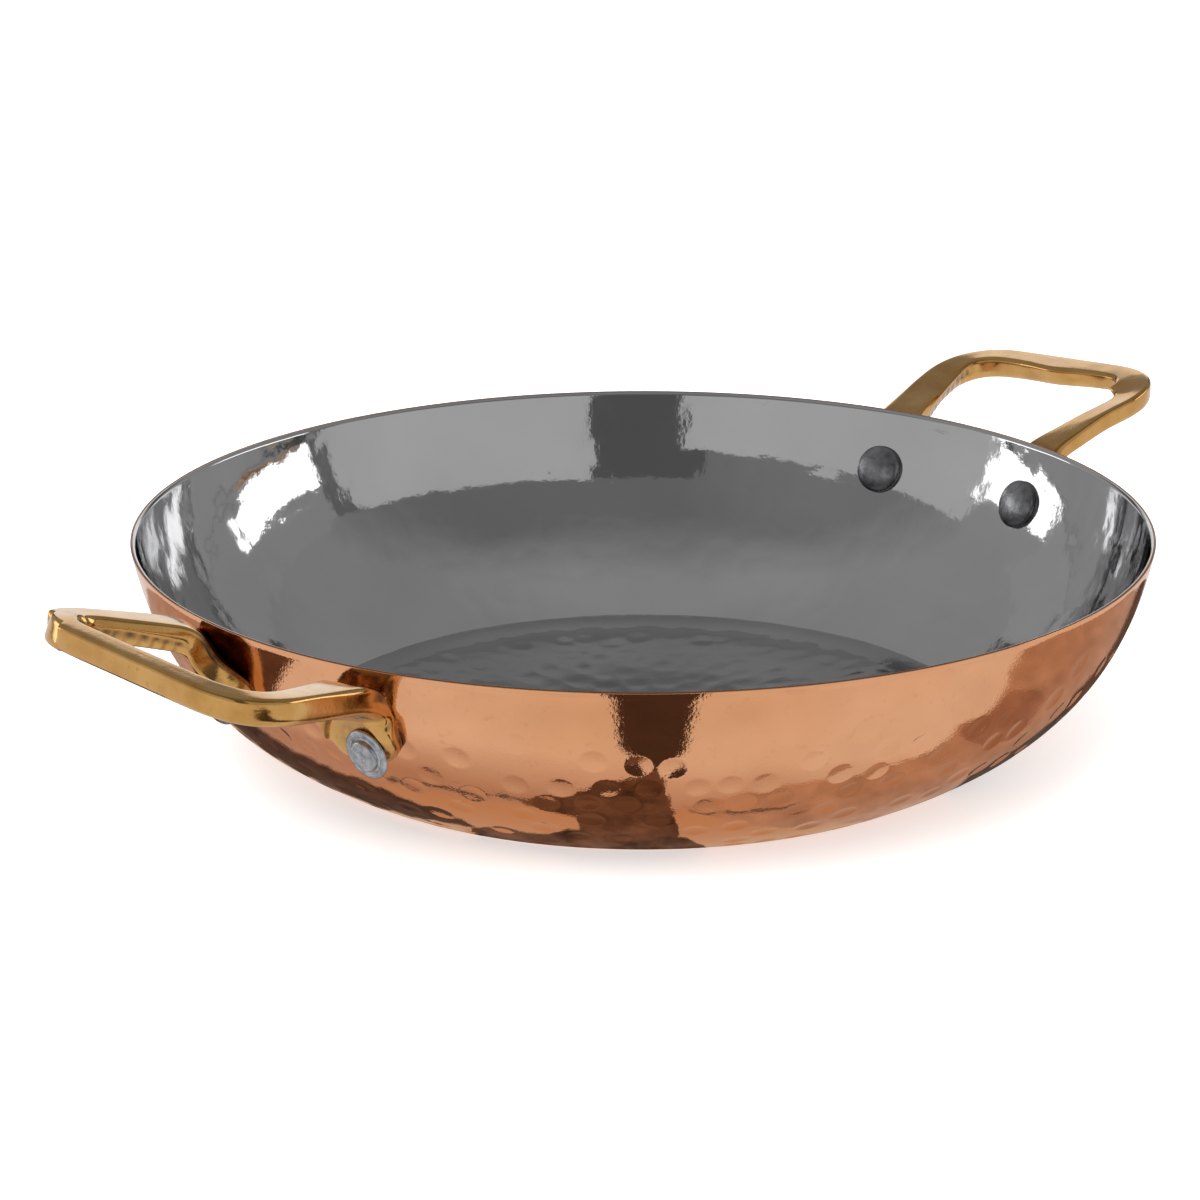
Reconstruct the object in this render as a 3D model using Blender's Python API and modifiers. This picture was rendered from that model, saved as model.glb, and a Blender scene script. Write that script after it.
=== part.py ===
"""Balti dish: a shallow copper dish with a steel liner and two cast brass loop handles on rivets.

Run it with blender --background --python part.py, or from Blender's text editor. Sizes are in metres.
The origin is the centre of the underside of the base, +Z is up, and the handles lie along X, each
set by hand a little off it and at its own height.
"""

import math

import bmesh
import bpy
from mathutils import Matrix, Vector

# Dish: the outer surface of the copper, from a flat base up a curved wall to a plain rim
RIM_RADIUS = 0.110
DISH_HEIGHT = 0.0465
BASE_RADIUS = 0.0735
BASE_ANGLE = math.radians(26.8)
RIM_ANGLE = math.radians(79.2)
BASE_PULL = 0.0164
RIM_PULL = 0.0297
COPPER_THICKNESS = 0.0005
STEEL_THICKNESS = 0.0004
SEAT_GAP = 0.0003

# Rivets: a domed head inside the dish, a shank, and a peened tail outside the palm, below the rim by
# their own drop on each side
RIVET_DROPS = {"right": 0.0139, "left": 0.0167}
RIVET_SPACING = 0.0422
SHANK_RADIUS = 0.0024
HEAD_RADIUS = 0.0055
HEAD_EDGE = 0.0006
HEAD_CROWN = 0.0017
TAIL_RADIUS = 0.0052
TAIL_FLANGE = 0.0009
BUTTON_RADIUS = 0.0034
BUTTON_HEIGHT = 0.0010
BUTTON_ROUND = 0.0004

# Palms: the two leaf-shaped feet of a handle, which the rivets hold against the wall, a little off
# their middles and in recesses that are open towards the handle's middle
PALM_WIDTH = 0.0160
PALM_SHIFT = 0.0016
PALM_BELOW_RIVET = 0.0035
PALM_TOP_DROP = 0.0090
PALM_TIP_ROUND = 0.0052
PALM_THICKNESS = 0.0054
PALM_TIP_THICKNESS = 0.0030
PALM_BITE = 0.0007
PALM_FLOOR = 0.0026
RECESS_RADIUS = 0.0079
RECESS_RISE = 0.0012
RECESS_INSET = 0.0020
RECESS_DEPTH = 0.0120

# Loop: the arms leave the palms over a gooseneck and meet the grip bar in two unlike corners
NECK_DROP = 0.0040
NECK_STANDOFF = 0.0050
NECK_ROUND = 0.0068
NECK_WIDTH = 0.0106
NECK_HEIGHT = 0.0058
PALM_ROUND = 0.0110
LOOP_REACH = 0.0353
LOOP_RISE = 0.0056
LOOP_WIDTH = 0.0588
LOOP_LEAN = 0.0023
WIDE_CORNER_ROUND = 0.0118
TIGHT_CORNER_ROUND = 0.0094
BAR_WIDTH = 0.0053
BAR_HEIGHT = 0.0066

# Facets
WALL_STEPS = 9
ROUND_STEPS = 72
RIVET_STEPS = 20
DOME_STEPS = 4
ARC_STEPS = 8
LOOP_RINGS = 72
LOOP_SIDES = 12
SECTION_SQUARENESS = 3.2
PALM_TIP_SHARE = 0.45
WALL_SEARCHES = 40
CUT_OVERRUN = 0.0060
MERGE = 0.00001
SMOOTH_ANGLE = math.radians(35)

COPPER_COLOUR = (0.78, 0.45, 0.31, 1)
STEEL_COLOUR = (0.50, 0.50, 0.51, 1)
BRASS_COLOUR = (0.76, 0.50, 0.19, 1)
ALUMINIUM_COLOUR = (0.60, 0.63, 0.67, 1)

SIDES = {"right": math.radians(-1.0), "left": math.radians(181.0)}
HANDS = {"front": -1, "back": 1}


def material(name, colour, roughness):
    """A bare metal."""
    result = bpy.data.materials.new(name)
    result.use_nodes = True
    shader = result.node_tree.nodes["Principled BSDF"]
    shader.inputs["Base Color"].default_value = colour
    shader.inputs["Metallic"].default_value = 1
    shader.inputs["Roughness"].default_value = roughness
    return result


def add_object(name, mesh, collection, finish=None):
    """A new object of this mesh in a collection, with its material."""
    result = bpy.data.objects.new(name, mesh)
    collection.objects.link(result)
    if finish:
        mesh.materials.append(finish)
    return result


def add_cutter(name, mesh, cutters):
    """An object that only shapes others."""
    result = add_object(name, mesh, cutters)
    result.hide_render = True
    result.display_type = "WIRE"
    return result


def cut(body, cutter):
    """Takes the cutter's shape out of the body."""
    modifier = body.modifiers.new(cutter.name, "BOOLEAN")
    modifier.operation = "DIFFERENCE"
    modifier.solver = "EXACT"
    modifier.object = cutter


def soften(mesh):
    """Smooth shading that keeps the real edges sharp."""
    mesh.shade_smooth()
    mesh.set_sharp_from_angle(angle=SMOOTH_ANGLE)


def turned(name, section, steps, collection, finish=None):
    """A turned solid: its section runs down the outer side, from axis to axis."""
    mesh = bpy.data.meshes.new(name)
    points = [(radius, 0, height) for radius, height in section]
    links = [(index, index + 1) for index in range(len(points) - 1)]
    mesh.from_pydata(points, links, [])
    result = add_object(name, mesh, collection, finish)
    screw = result.modifiers.new("Turn", "SCREW")
    screw.axis = "Z"
    screw.steps = steps
    screw.render_steps = steps
    screw.use_merge_vertices = True
    screw.merge_threshold = MERGE
    screw.use_smooth_shade = True
    return result


def wall(share):
    """Radius, height and slope of the outer wall, at a share of the way from base to rim."""
    rest = 1 - share
    start = Vector((BASE_RADIUS, 0))
    end = Vector((RIM_RADIUS, DISH_HEIGHT))
    near_start = start + BASE_PULL * Vector((math.cos(BASE_ANGLE), math.sin(BASE_ANGLE)))
    near_end = end - RIM_PULL * Vector((math.cos(RIM_ANGLE), math.sin(RIM_ANGLE)))
    place = rest**3 * start + 3 * rest**2 * share * near_start
    place += 3 * rest * share**2 * near_end + share**3 * end
    slope = rest**2 * (near_start - start) + 2 * rest * share * (near_end - near_start)
    slope += share**2 * (end - near_end)
    return place.x, place.y, math.atan2(slope.y, slope.x)


def wall_at(height):
    """Radius and slope of the outer wall at this height."""
    low, high = 0, 1
    for _ in range(WALL_SEARCHES):
        middle = (low + high) / 2
        if wall(middle)[1] < height:
            low = middle
        else:
            high = middle
    radius, _, slope = wall(low)
    return radius, slope


def wall_line(inset):
    """The wall's line from the base's edge to the rim, moved in from the outer surface by inset."""
    line = [(BASE_RADIUS - inset * math.tan(BASE_ANGLE / 2), inset)]
    for step in range(1, WALL_STEPS):
        radius, height, slope = wall(step / WALL_STEPS)
        line.append((radius - inset * math.sin(slope), height + inset * math.cos(slope)))
    line.append((RIM_RADIUS - inset / math.sin(RIM_ANGLE), DISH_HEIGHT))
    return line


def shell(name, outer_inset, thickness, collection, finish):
    """One layer of the dish, between two lines of the wall, with its flat floor."""
    inner = wall_line(outer_inset + thickness)
    outer = wall_line(outer_inset)
    section = [(0, outer_inset + thickness)] + inner + outer[::-1] + [(0, outer_inset)]
    return turned(name, section, ROUND_STEPS, collection, finish)


def rivet_height(side):
    """Height at which a handle's rivets cross the outer wall."""
    return DISH_HEIGHT - RIVET_DROPS[side]


def rivet_angle(side):
    """Angle about the dish's axis from a handle's middle to each of its rivets."""
    radius, _ = wall_at(rivet_height(side))
    return math.asin(RIVET_SPACING / 2 / radius)


def wall_frame(height, azimuth, standoff=0):
    """X along the rim, Y up the wall and Z out of it, at a point that stands off the outer surface."""
    radius, slope = wall_at(height)
    around = Vector((-math.sin(azimuth), math.cos(azimuth), 0))
    outward = Vector((math.cos(azimuth), math.sin(azimuth), 0))
    upward = math.cos(slope) * outward + math.sin(slope) * Vector((0, 0, 1))
    normal = around.cross(upward)
    place = radius * outward + Vector((0, 0, height)) + standoff * normal
    frame = Matrix((around, upward, normal)).transposed().to_4x4()
    return Matrix.Translation(place) @ frame


def rivet_section():
    """The rivet from its tail's middle, down its outer side, to its head's middle."""
    flange_low = PALM_FLOOR + SEAT_GAP
    flange_high = flange_low + TAIL_FLANGE
    tail_top = flange_high + BUTTON_HEIGHT
    head_sag = HEAD_RADIUS**2 / RIM_RADIUS
    head_seat = -(COPPER_THICKNESS + SEAT_GAP + STEEL_THICKNESS + SEAT_GAP + head_sag)
    section = [
        (0, tail_top),
        (BUTTON_RADIUS - 2 * BUTTON_ROUND, tail_top),
        (BUTTON_RADIUS, tail_top - BUTTON_ROUND),
        (BUTTON_RADIUS + BUTTON_ROUND, flange_high),
        (TAIL_RADIUS, flange_high - BUTTON_ROUND),
        (TAIL_RADIUS, flange_low),
        (SHANK_RADIUS, flange_low),
        (SHANK_RADIUS, head_seat),
        (HEAD_RADIUS, head_seat),
    ]
    for step in range(DOME_STEPS + 1):
        turn = math.pi / 2 * step / DOME_STEPS
        crown = HEAD_EDGE + HEAD_CROWN * math.sin(turn)
        section.append((HEAD_RADIUS * math.cos(turn), head_seat - crown))
    section[-1] = (0, head_seat - HEAD_EDGE - HEAD_CROWN)
    return section


def cylinder_mesh(name, radius, low, high):
    """A closed cylinder along Z between two heights."""
    mesh = bpy.data.meshes.new(name)
    build = bmesh.new()
    middle = Matrix.Translation((0, 0, (low + high) / 2))
    bmesh.ops.create_cone(
        build,
        cap_ends=True,
        segments=RIVET_STEPS,
        radius1=radius,
        radius2=radius,
        depth=high - low,
        matrix=middle,
    )
    build.to_mesh(mesh)
    build.free()
    return mesh


def rounded_path(corners, rounds):
    """A path through the corners with each inner one rounded, and the length at which each comes."""
    path = [corners[0]]
    middles = [0]
    for before, corner, after, radius in zip(corners, corners[1:], corners[2:], rounds):
        back = (before - corner).normalized()
        ahead = (after - corner).normalized()
        reach = radius / math.tan(back.angle(ahead) / 2)
        reach = min(reach, (before - corner).length / 2, (after - corner).length / 2)
        for step in range(ARC_STEPS + 1):
            share = step / ARC_STEPS
            rest = 1 - share
            bend = rest**2 * (corner + reach * back) + share**2 * (corner + reach * ahead)
            path.append(bend + 2 * rest * share * corner)
        middles.append(len(path) - 1 - ARC_STEPS // 2)
    path.append(corners[-1])
    middles.append(len(path) - 1)
    lengths = [0]
    for start, end in zip(path, path[1:]):
        lengths.append(lengths[-1] + (end - start).length)
    return path, lengths, [lengths[index] for index in middles]


def between(places, values, place):
    """The value at a place, straight between the known ones."""
    for start, end, low, high in zip(places, places[1:], values, values[1:]):
        if place <= end:
            share = (place - start) / (end - start) if end > start else 0
            return low + (high - low) * share
    return values[-1]


def point_on(path, lengths, place):
    """The point at this length along the path."""
    return Vector([between(lengths, [point[axis] for point in path], place) for axis in range(3)])


def loop_corners(side):
    """The corners of a handle's middle line, from one palm's tip round to the other one's."""
    arm_height = DISH_HEIGHT - NECK_DROP
    neck_radius = wall_at(arm_height)[0] + NECK_STANDOFF
    loop_height = DISH_HEIGHT + LOOP_RISE
    _, slope = wall_at(rivet_height(side))
    tip_height = rivet_height(side) - PALM_BELOW_RIVET * math.sin(slope)
    top_height = DISH_HEIGHT - PALM_TOP_DROP
    halves = []
    for hand in (1, -1):
        azimuth = hand * rivet_angle(side)
        neck = Vector((neck_radius * math.cos(azimuth), neck_radius * math.sin(azimuth), arm_height))
        azimuth -= hand * PALM_SHIFT / RIM_RADIUS
        halves.append(
            [
                wall_frame(tip_height, azimuth, PALM_TIP_THICKNESS / 2 - PALM_BITE).translation,
                wall_frame(top_height, azimuth, PALM_THICKNESS / 2 - PALM_BITE).translation,
                neck,
                Vector((RIM_RADIUS + LOOP_REACH, hand * LOOP_WIDTH / 2, loop_height)),
            ]
        )
    return halves[0] + halves[1][::-1]


def loop_ring(middle, along, width, thickness):
    """One rounded section of the handle, square to its path."""
    across = along.cross(Vector((0, 0, 1))).normalized()
    upward = across.cross(along)
    ring = []
    for facet in range(LOOP_SIDES):
        turn = math.tau * (facet + 1 / 2) / LOOP_SIDES
        power = 2 / SECTION_SQUARENESS
        x_share = math.copysign(abs(math.cos(turn)) ** power, math.cos(turn))
        y_share = math.copysign(abs(math.sin(turn)) ** power, math.sin(turn))
        ring.append(middle + across * width / 2 * x_share + upward * thickness / 2 * y_share)
    return ring


def lean(point):
    """The casting leans: its loop twists a little about the line out from the dish."""
    share = (point.x - RIM_RADIUS) / LOOP_REACH
    share = min(max(share, 0), 1)
    return point - Vector((0, 0, LOOP_LEAN * share * point.y / (LOOP_WIDTH / 2)))


def loop_mesh(side):
    """A handle before it is cut and turned to its side: one loft from palm tip to palm tip."""
    rounds = [PALM_ROUND, NECK_ROUND, WIDE_CORNER_ROUND]
    rounds += [TIGHT_CORNER_ROUND, NECK_ROUND, PALM_ROUND]
    path, lengths, marks = rounded_path(loop_corners(side), rounds)
    half_widths = [PALM_WIDTH, PALM_WIDTH, NECK_WIDTH, BAR_WIDTH]
    half_heights = [PALM_TIP_THICKNESS, PALM_THICKNESS, NECK_HEIGHT, BAR_HEIGHT]
    widths = half_widths + half_widths[::-1]
    heights = half_heights + half_heights[::-1]
    total = lengths[-1]
    stride = total / LOOP_RINGS
    build = bmesh.new()
    rings = []
    for index in range(LOOP_RINGS + 1):
        place = min(stride * index, total)
        behind = point_on(path, lengths, max(place - stride, 0))
        ahead = point_on(path, lengths, min(place + stride, total))
        along = (ahead - behind).normalized()
        from_tip_share = min(min(place, total - place) / PALM_TIP_ROUND, 1)
        swell = PALM_TIP_SHARE + (1 - PALM_TIP_SHARE) * math.sqrt(1 - (1 - from_tip_share) ** 2)
        width = between(marks, widths, place) * swell
        height = between(marks, heights, place)
        ring = loop_ring(point_on(path, lengths, place), along, width, height)
        rings.append([build.verts.new(lean(point)) for point in ring])
    for first, second in zip(rings, rings[1:]):
        for facet in range(LOOP_SIDES):
            following = (facet + 1) % LOOP_SIDES
            build.faces.new((first[facet], first[following], second[following], second[facet]))
    build.faces.new(rings[0][::-1])
    build.faces.new(rings[-1])
    bmesh.ops.recalc_face_normals(build, faces=build.faces)
    mesh = bpy.data.meshes.new("handle_" + side)
    build.to_mesh(mesh)
    build.free()
    soften(mesh)
    return mesh


def seat_cutter(cutters):
    """The dish's outer surface with the seating gap, carried up past the rim, as a solid."""
    line = wall_line(-SEAT_GAP)[::-1]
    top = DISH_HEIGHT + LOOP_RISE + CUT_OVERRUN
    section = [(0, top), (line[0][0], top)] + line + [(0, -SEAT_GAP)]
    result = turned("wall_seat_cutter", section, ROUND_STEPS, cutters)
    result.hide_render = True
    result.display_type = "WIRE"
    return result


def main():
    for old in list(bpy.data.objects):
        bpy.data.objects.remove(old, do_unlink=True)
    parts = bpy.data.collections.new("balti_dish")
    cutters = bpy.data.collections.new("cutters")
    bpy.context.scene.collection.children.link(parts)
    bpy.context.scene.collection.children.link(cutters)
    copper = material("copper", COPPER_COLOUR, 0.22)
    steel = material("steel", STEEL_COLOUR, 0.25)
    brass = material("brass", BRASS_COLOUR, 0.28)
    aluminium = material("aluminium", ALUMINIUM_COLOUR, 0.45)

    root = bpy.data.objects.new("balti_dish", None)
    parts.objects.link(root)
    dish = [
        shell("copper_shell", 0, COPPER_THICKNESS, parts, copper),
        shell("steel_liner", COPPER_THICKNESS + SEAT_GAP, STEEL_THICKNESS, parts, steel),
    ]
    handles = {}
    seat = seat_cutter(cutters)
    for side, azimuth in SIDES.items():
        handle = add_object("handle_" + side, loop_mesh(side), parts, brass)
        handle.rotation_euler.z = azimuth
        cut(handle, seat)
        handles[side] = handle

    rivets = []
    for side, azimuth in SIDES.items():
        for hand_name, hand in HANDS.items():
            name = side + "_" + hand_name
            frame = wall_frame(rivet_height(side), azimuth + hand * rivet_angle(side))
            rivet = turned("rivet_" + name, rivet_section(), RIVET_STEPS, parts, aluminium)
            rivet.matrix_world = frame
            rivets.append(rivet)

            hole = cylinder_mesh(name + "_hole", SHANK_RADIUS + SEAT_GAP, -CUT_OVERRUN, CUT_OVERRUN)
            hole_cutter = add_cutter(name + "_hole_cutter", hole, cutters)
            hole_cutter.matrix_world = frame
            for body in dish + [handles[side]]:
                cut(body, hole_cutter)

            recess = cylinder_mesh(name + "_recess", RECESS_RADIUS, PALM_FLOOR, PALM_FLOOR + RECESS_DEPTH)
            recess_cutter = add_cutter(name + "_recess_cutter", recess, cutters)
            shift = Matrix.Translation((-hand * RECESS_INSET, RECESS_RISE, 0))
            recess_cutter.matrix_world = frame @ shift
            cut(handles[side], recess_cutter)
    for piece in dish + list(handles.values()) + rivets:
        piece.parent = root


main()
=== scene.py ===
"""Balti dish: hammered copper outside, planished steel inside, cast brass loops on aluminium rivets.

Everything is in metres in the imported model's frame: the origin is the centre of the underside, +Z is
up and the handles lie along X. Azimuths of the studio are taken from the camera's direction.
"""

import math

import bmesh
import bpy
import numpy as np
from mathutils import Matrix, Vector
from mathutils.geometry import delaunay_2d_cdt


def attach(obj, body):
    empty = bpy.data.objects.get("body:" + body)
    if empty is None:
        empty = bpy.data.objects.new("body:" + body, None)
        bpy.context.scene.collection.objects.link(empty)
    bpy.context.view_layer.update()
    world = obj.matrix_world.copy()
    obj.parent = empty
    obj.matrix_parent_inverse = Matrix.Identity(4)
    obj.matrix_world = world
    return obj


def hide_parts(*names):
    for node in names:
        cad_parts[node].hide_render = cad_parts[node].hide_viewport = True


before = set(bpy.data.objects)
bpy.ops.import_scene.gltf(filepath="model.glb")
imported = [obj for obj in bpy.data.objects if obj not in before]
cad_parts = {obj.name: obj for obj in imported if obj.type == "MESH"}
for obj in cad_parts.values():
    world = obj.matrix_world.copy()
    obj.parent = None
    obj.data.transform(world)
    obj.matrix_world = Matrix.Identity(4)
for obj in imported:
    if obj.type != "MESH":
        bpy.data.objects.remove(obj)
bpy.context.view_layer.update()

# Dish: the outer surface of the copper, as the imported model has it
RIM_RADIUS = 0.110
DISH_HEIGHT = 0.0465
BASE_RADIUS = 0.0735
BASE_ANGLE = math.radians(26.8)
RIM_ANGLE = math.radians(79.2)
BASE_PULL = 0.0164
RIM_PULL = 0.0297
COPPER_THICKNESS = 0.0005
STEEL_THICKNESS = 0.0004
SHEET_GAP = 0.00002
CREASE = 0.0012
CREASE_SAMPLES = 24
BEND_LENGTHS = (-0.0013, -0.0009, -0.0006, -0.0003, 0.0, 0.0002)
LINE_SAMPLES = 3000

# Meshes of the two sheets
COPPER_COLUMNS = 370
STEEL_COLUMNS = 640
BLOW_PITCH = 0.0068
STEEL_WALL_SPACING = 0.00074
STEEL_FLOOR_SPACING = 0.0021
HIDDEN_SPACING = 0.006
OUTER_EDGE = 0.0003
INNER_EDGE = 0.00008
LIP_ROUND = 0.0002

# Hammer marks on the copper, by length up the wall
DENT_RADIUS = 0.00285
DENT_DEPTH = 0.00031
DENT_PITCH = 0.0076
DENT_ROWS = (0.0036, 0.0092, 0.0148, 0.0204, 0.0260, 0.0317, 0.0373, 0.0430, 0.0488)
DENT_RINGS = ((0.34, 6), (0.66, 11), (0.88, 16), (0.98, 18), (1.06, 18), (1.22, 18))
DENT_KEEP_OUT = 1.30
DENT_EDGE = 0.06
DENT_DISTANCE = 2.28
FRONT_DENTS = (
    (-0.4, 43.9), (3.3, 43.2), (-5.2, 45.0), (0.7, 37.1), (-4.0, 37.1), (-9.1, 37.0), (-9.1, 31.2),
    (-4.0, 31.5), (0.0, 32.0), (-6.2, 25.4), (1.9, 25.8), (6.6, 19.5), (-20.4, 43.1), (-24.5, 36.4),
    (-14.3, 36.9),
)

# Rivets and handles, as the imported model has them
RIVET_DROPS = {"right": 0.0139, "left": 0.0167}
RIVET_SPACING = 0.0422
SHANK_RADIUS = 0.0024
HEAD_RADIUS = 0.0055
HEAD_EDGE = 0.0006
HEAD_CROWN = 0.0017
TAIL_RADIUS = 0.0054
TAIL_FLANGE = 0.0007
BUTTON_RADIUS = 0.0034
BUTTON_HEIGHT = 0.0010
PALM_WIDTHS = {"right": 0.0160, "left": 0.0176}
PALM_SHIFTS = {"right": 0.0016, "left": 0.0025}
PALM_BELOW_RIVET = 0.0035
PALM_TOP_DROP = 0.0090
PALM_TIP_ROUND = 0.0052
PALM_THICKNESS = 0.0054
PALM_TIP_THICKNESS = 0.0030
PALM_BITE = 0.0007
PALM_FLOOR = 0.0026
TAIL_SPREAD = math.radians(1)
TAIL_PITCH = math.radians(13)
TAIL_OFFSETS = {
    "right": {1: (0.0, 0.0), -1: (0.0, 0.0)},
    "left": {1: (0.0009, 0.0012), -1: (0.0, -0.0003)},
}
RECESS_RADIUS = 0.0079
RECESS_RISE = 0.0012
RECESS_INSET = 0.0020
RECESS_DEPTH = 0.0120
RECESS_LIP = (
    (-0.0006, 0), (-0.0002, 0.00015), (0, 0.0005), (0.0001, 0.0012), (0.0003, 0.0016),
    (0.0007, 0.0020), (0.0014, 0.0024), (0.0014, RECESS_DEPTH),
)
NECK_DROPS = {"right": (0.0040, 0.0033), "left": (0.0040, 0.0028)}
NECK_STANDOFF = 0.0050
NECK_ROUND = 0.0068
NECK_WIDTHS = {"right": (0.0106, 0.0086), "left": (0.0106, 0.0106)}
NECK_SHIFTS = {"right": (0.0, 0.0016), "left": (0.0, 0.0)}
NECK_HEIGHTS = {"right": (0.0058, 0.0046), "left": (0.0058, 0.0058)}
PALM_ROUND = 0.0110
LOOP_REACHES = {"right": 0.0346, "left": 0.03475}
LOOP_RISES = {"right": 0.0061, "left": 0.0043}
LOOP_WIDTH = 0.0588
CORNER_SHIFTS = {"right": 0.0012, "left": 0.0018}
LOOP_LEANS = {"right": 0.0022, "left": 0.0027}
LEAN_START = 0.006
LEAN_POWER = 0.7
WIDE_CORNER_ROUND = 0.0118
TIGHT_CORNER_ROUNDS = {"right": 0.0125, "left": 0.0094}
BAR_WIDTHS = {"right": 0.0065, "left": 0.0053}
BAR_HEIGHTS = {"right": (0.0066, 0.0052), "left": (0.0057, 0.0059)}
EDGE_SOFTNESS = {"right": 1.8, "left": 1.0}
TOP_SLOPES = {"right": 0.34, "left": 0.0}
CORNER_SWELL = 0.0030
CORNER_SPREAD = 0.0052
MIDDLE_SWELLS = {"right": 0.0017, "left": 0.0}
MIDDLE_SPREAD = 0.0065
ARM_BOWS = {"right": 0.0010, "left": 0.0}
ARM_SPREAD = 0.009
CORNER_FACETS = {"right": 0.0, "left": math.tan(math.radians(20))}
CORNER_FACET_HALF = 0.0042
CORNER_FACET_LEAD = 0.0030
FILE_PITCH = 0.0026
FILE_DEPTH = 0.00022
WOBBLE_DEPTH = 0.00005
EDGE_RADII = (0.0020, 0.0016, 0.0010, 0.0015)
TOP_RADIUS = 0.0012
HOLE_REACH = 0.006
PATH_EASE = 0.0019
SIZE_EASE = 0.003
SIDES = {"right": math.radians(-1.0), "left": math.radians(181.0)}
HANDS = {"front": -1, "back": 1}
LOOP_RINGS = 560
PATH_SAMPLES = 24

# Camera, as fitted to the rim, the floor's edge and the handles in the photo
CAMERA_DISTANCE = 0.9542
CAMERA_AZIMUTH = math.radians(-47.4)
CAMERA_ELEVATION = math.radians(19.68)
CAMERA_PAN = math.radians(0.560)
CAMERA_TILT = math.radians(1.683)
CAMERA_LENS = 130.73
CAMERA_SENSOR = 36

# Studio cards: name, azimuths, ends of the lower edge, of the upper edge, strength, distance
CARDS = (
    ("lens_gap", (-16, 16), (0, 0), (40, 40), 0.11, 2.9),
    ("left_panel", (-93, -10), (-2, -2), (29, 29), 0.53, 2.5),
    ("right_panel", (12, 82.5), (-2, -2), (42, 31), 0.53, 2.5),
    ("right_notch", (82, 88), (-2, -2), (32, 31), 0.15, 2.55),
    ("left_strip", (-119, -92.5), (6, -1), (16, 18), 2.2, 2.4),
    ("right_strip", (87.5, 120), (2.5, 9.5), (18, 18), 2.2, 2.4),
    ("left_back", (-120, -92), (-2, -2), (30, 30), 0.34, 2.7),
    ("right_back", (85, 120), (-2, -2), (30, 30), 0.30, 2.7),
    ("left_side", (-150, -119), (-2, -2), (30, 30), 0.36, 2.7),
    ("right_side", (119, 150), (-2, -2), (30, 30), 0.31, 2.7),
    ("left_edge", (-162, -150), (-2, -2), (30, 30), 0.08, 2.7),
    ("right_edge", (150, 162), (-2, -2), (30, 30), 0.08, 2.7),
)

SEED = 11
CAST_SKIN = "cast_skin"


def wall(share):
    """Radius and height of the outer wall at shares of the way from base to rim."""
    share = np.asarray(share)[:, None]
    rest = 1 - share
    start = np.array((BASE_RADIUS, 0.0))
    end = np.array((RIM_RADIUS, DISH_HEIGHT))
    near_start = start + BASE_PULL * np.array((math.cos(BASE_ANGLE), math.sin(BASE_ANGLE)))
    near_end = end - RIM_PULL * np.array((math.cos(RIM_ANGLE), math.sin(RIM_ANGLE)))
    line = rest**3 * start + 3 * rest**2 * share * near_start
    return line + 3 * rest * share**2 * near_end + share**3 * end


class Meridian:
    """The dish's outer line from the axis along the floor and up the wall, by its own length.

    The length is about zero at the base's rounded edge, negative on the floor and `length` at the rim.
    """

    def __init__(self):
        rise = wall(np.linspace(0, 1, LINE_SAMPLES))
        climbed = np.concatenate([[0], np.cumsum(np.hypot(*np.diff(rise, axis=0).T))])
        upper = rise[climbed > CREASE]
        share = np.linspace(0, 1, CREASE_SAMPLES)[:, None]
        bend = (1 - share) ** 2 * np.array((BASE_RADIUS - CREASE, 0.0)) + share**2 * upper[0]
        bend += 2 * (1 - share) * share * np.array((BASE_RADIUS, 0.0))
        line = np.concatenate([[(0.0, 0.0)], bend, upper[1:]])
        along = np.concatenate([[0], np.cumsum(np.hypot(*np.diff(line, axis=0).T))])
        self.length = climbed[-1]
        self.along = along - along[-1] + self.length
        self.radius, self.height = line.T
        run = np.gradient(self.radius, self.along)
        self.slope = np.arctan2(np.gradient(self.height, self.along), run)
        self.slope[0] = 0
        turning = np.diff(self.along) / np.maximum(self.radius[1:], CREASE)
        self.spread = np.concatenate([[0], np.cumsum(turning)])

    def at(self, along, inset=0):
        """Radius and height at these lengths, moved in from the outer surface."""
        slope = np.interp(along, self.along, self.slope)
        radius = np.interp(along, self.along, self.radius) - inset * np.sin(slope)
        height = np.interp(along, self.along, self.height) + inset * np.cos(slope)
        return np.stack([np.maximum(radius, 0), np.minimum(height, DISH_HEIGHT)], axis=-1)

    def radius_at(self, along):
        """The outer surface's radius at one length."""
        return float(np.interp(along, self.along, self.radius))

    def slope_at(self, along):
        """The outer surface's slope at one length."""
        return float(np.interp(along, self.along, self.slope))

    def spread_at(self, along):
        """The height in the plane that keeps the wall's small shapes true, beside the angle."""
        return np.interp(along, self.along, self.spread)

    def along_at(self, spread):
        """The length at a height in that plane."""
        return np.interp(spread, self.spread, self.along)

    def along_height(self, height):
        """The length at which the wall comes to this height."""
        return float(np.interp(height, self.height, self.along))


MERIDIAN = Meridian()


def turned_points(radius, angle, height):
    """Points in space at these radii, angles and heights."""
    return np.stack([radius * np.cos(angle), radius * np.sin(angle), height], axis=-1)


def solid(along, angle, inset=0):
    """Points in space on a face of the dish."""
    radius, height = MERIDIAN.at(along, inset).T
    return turned_points(radius, angle, height)


def ring_angles(columns):
    """Even angles all round."""
    return np.arange(columns) * math.tau / columns


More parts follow.
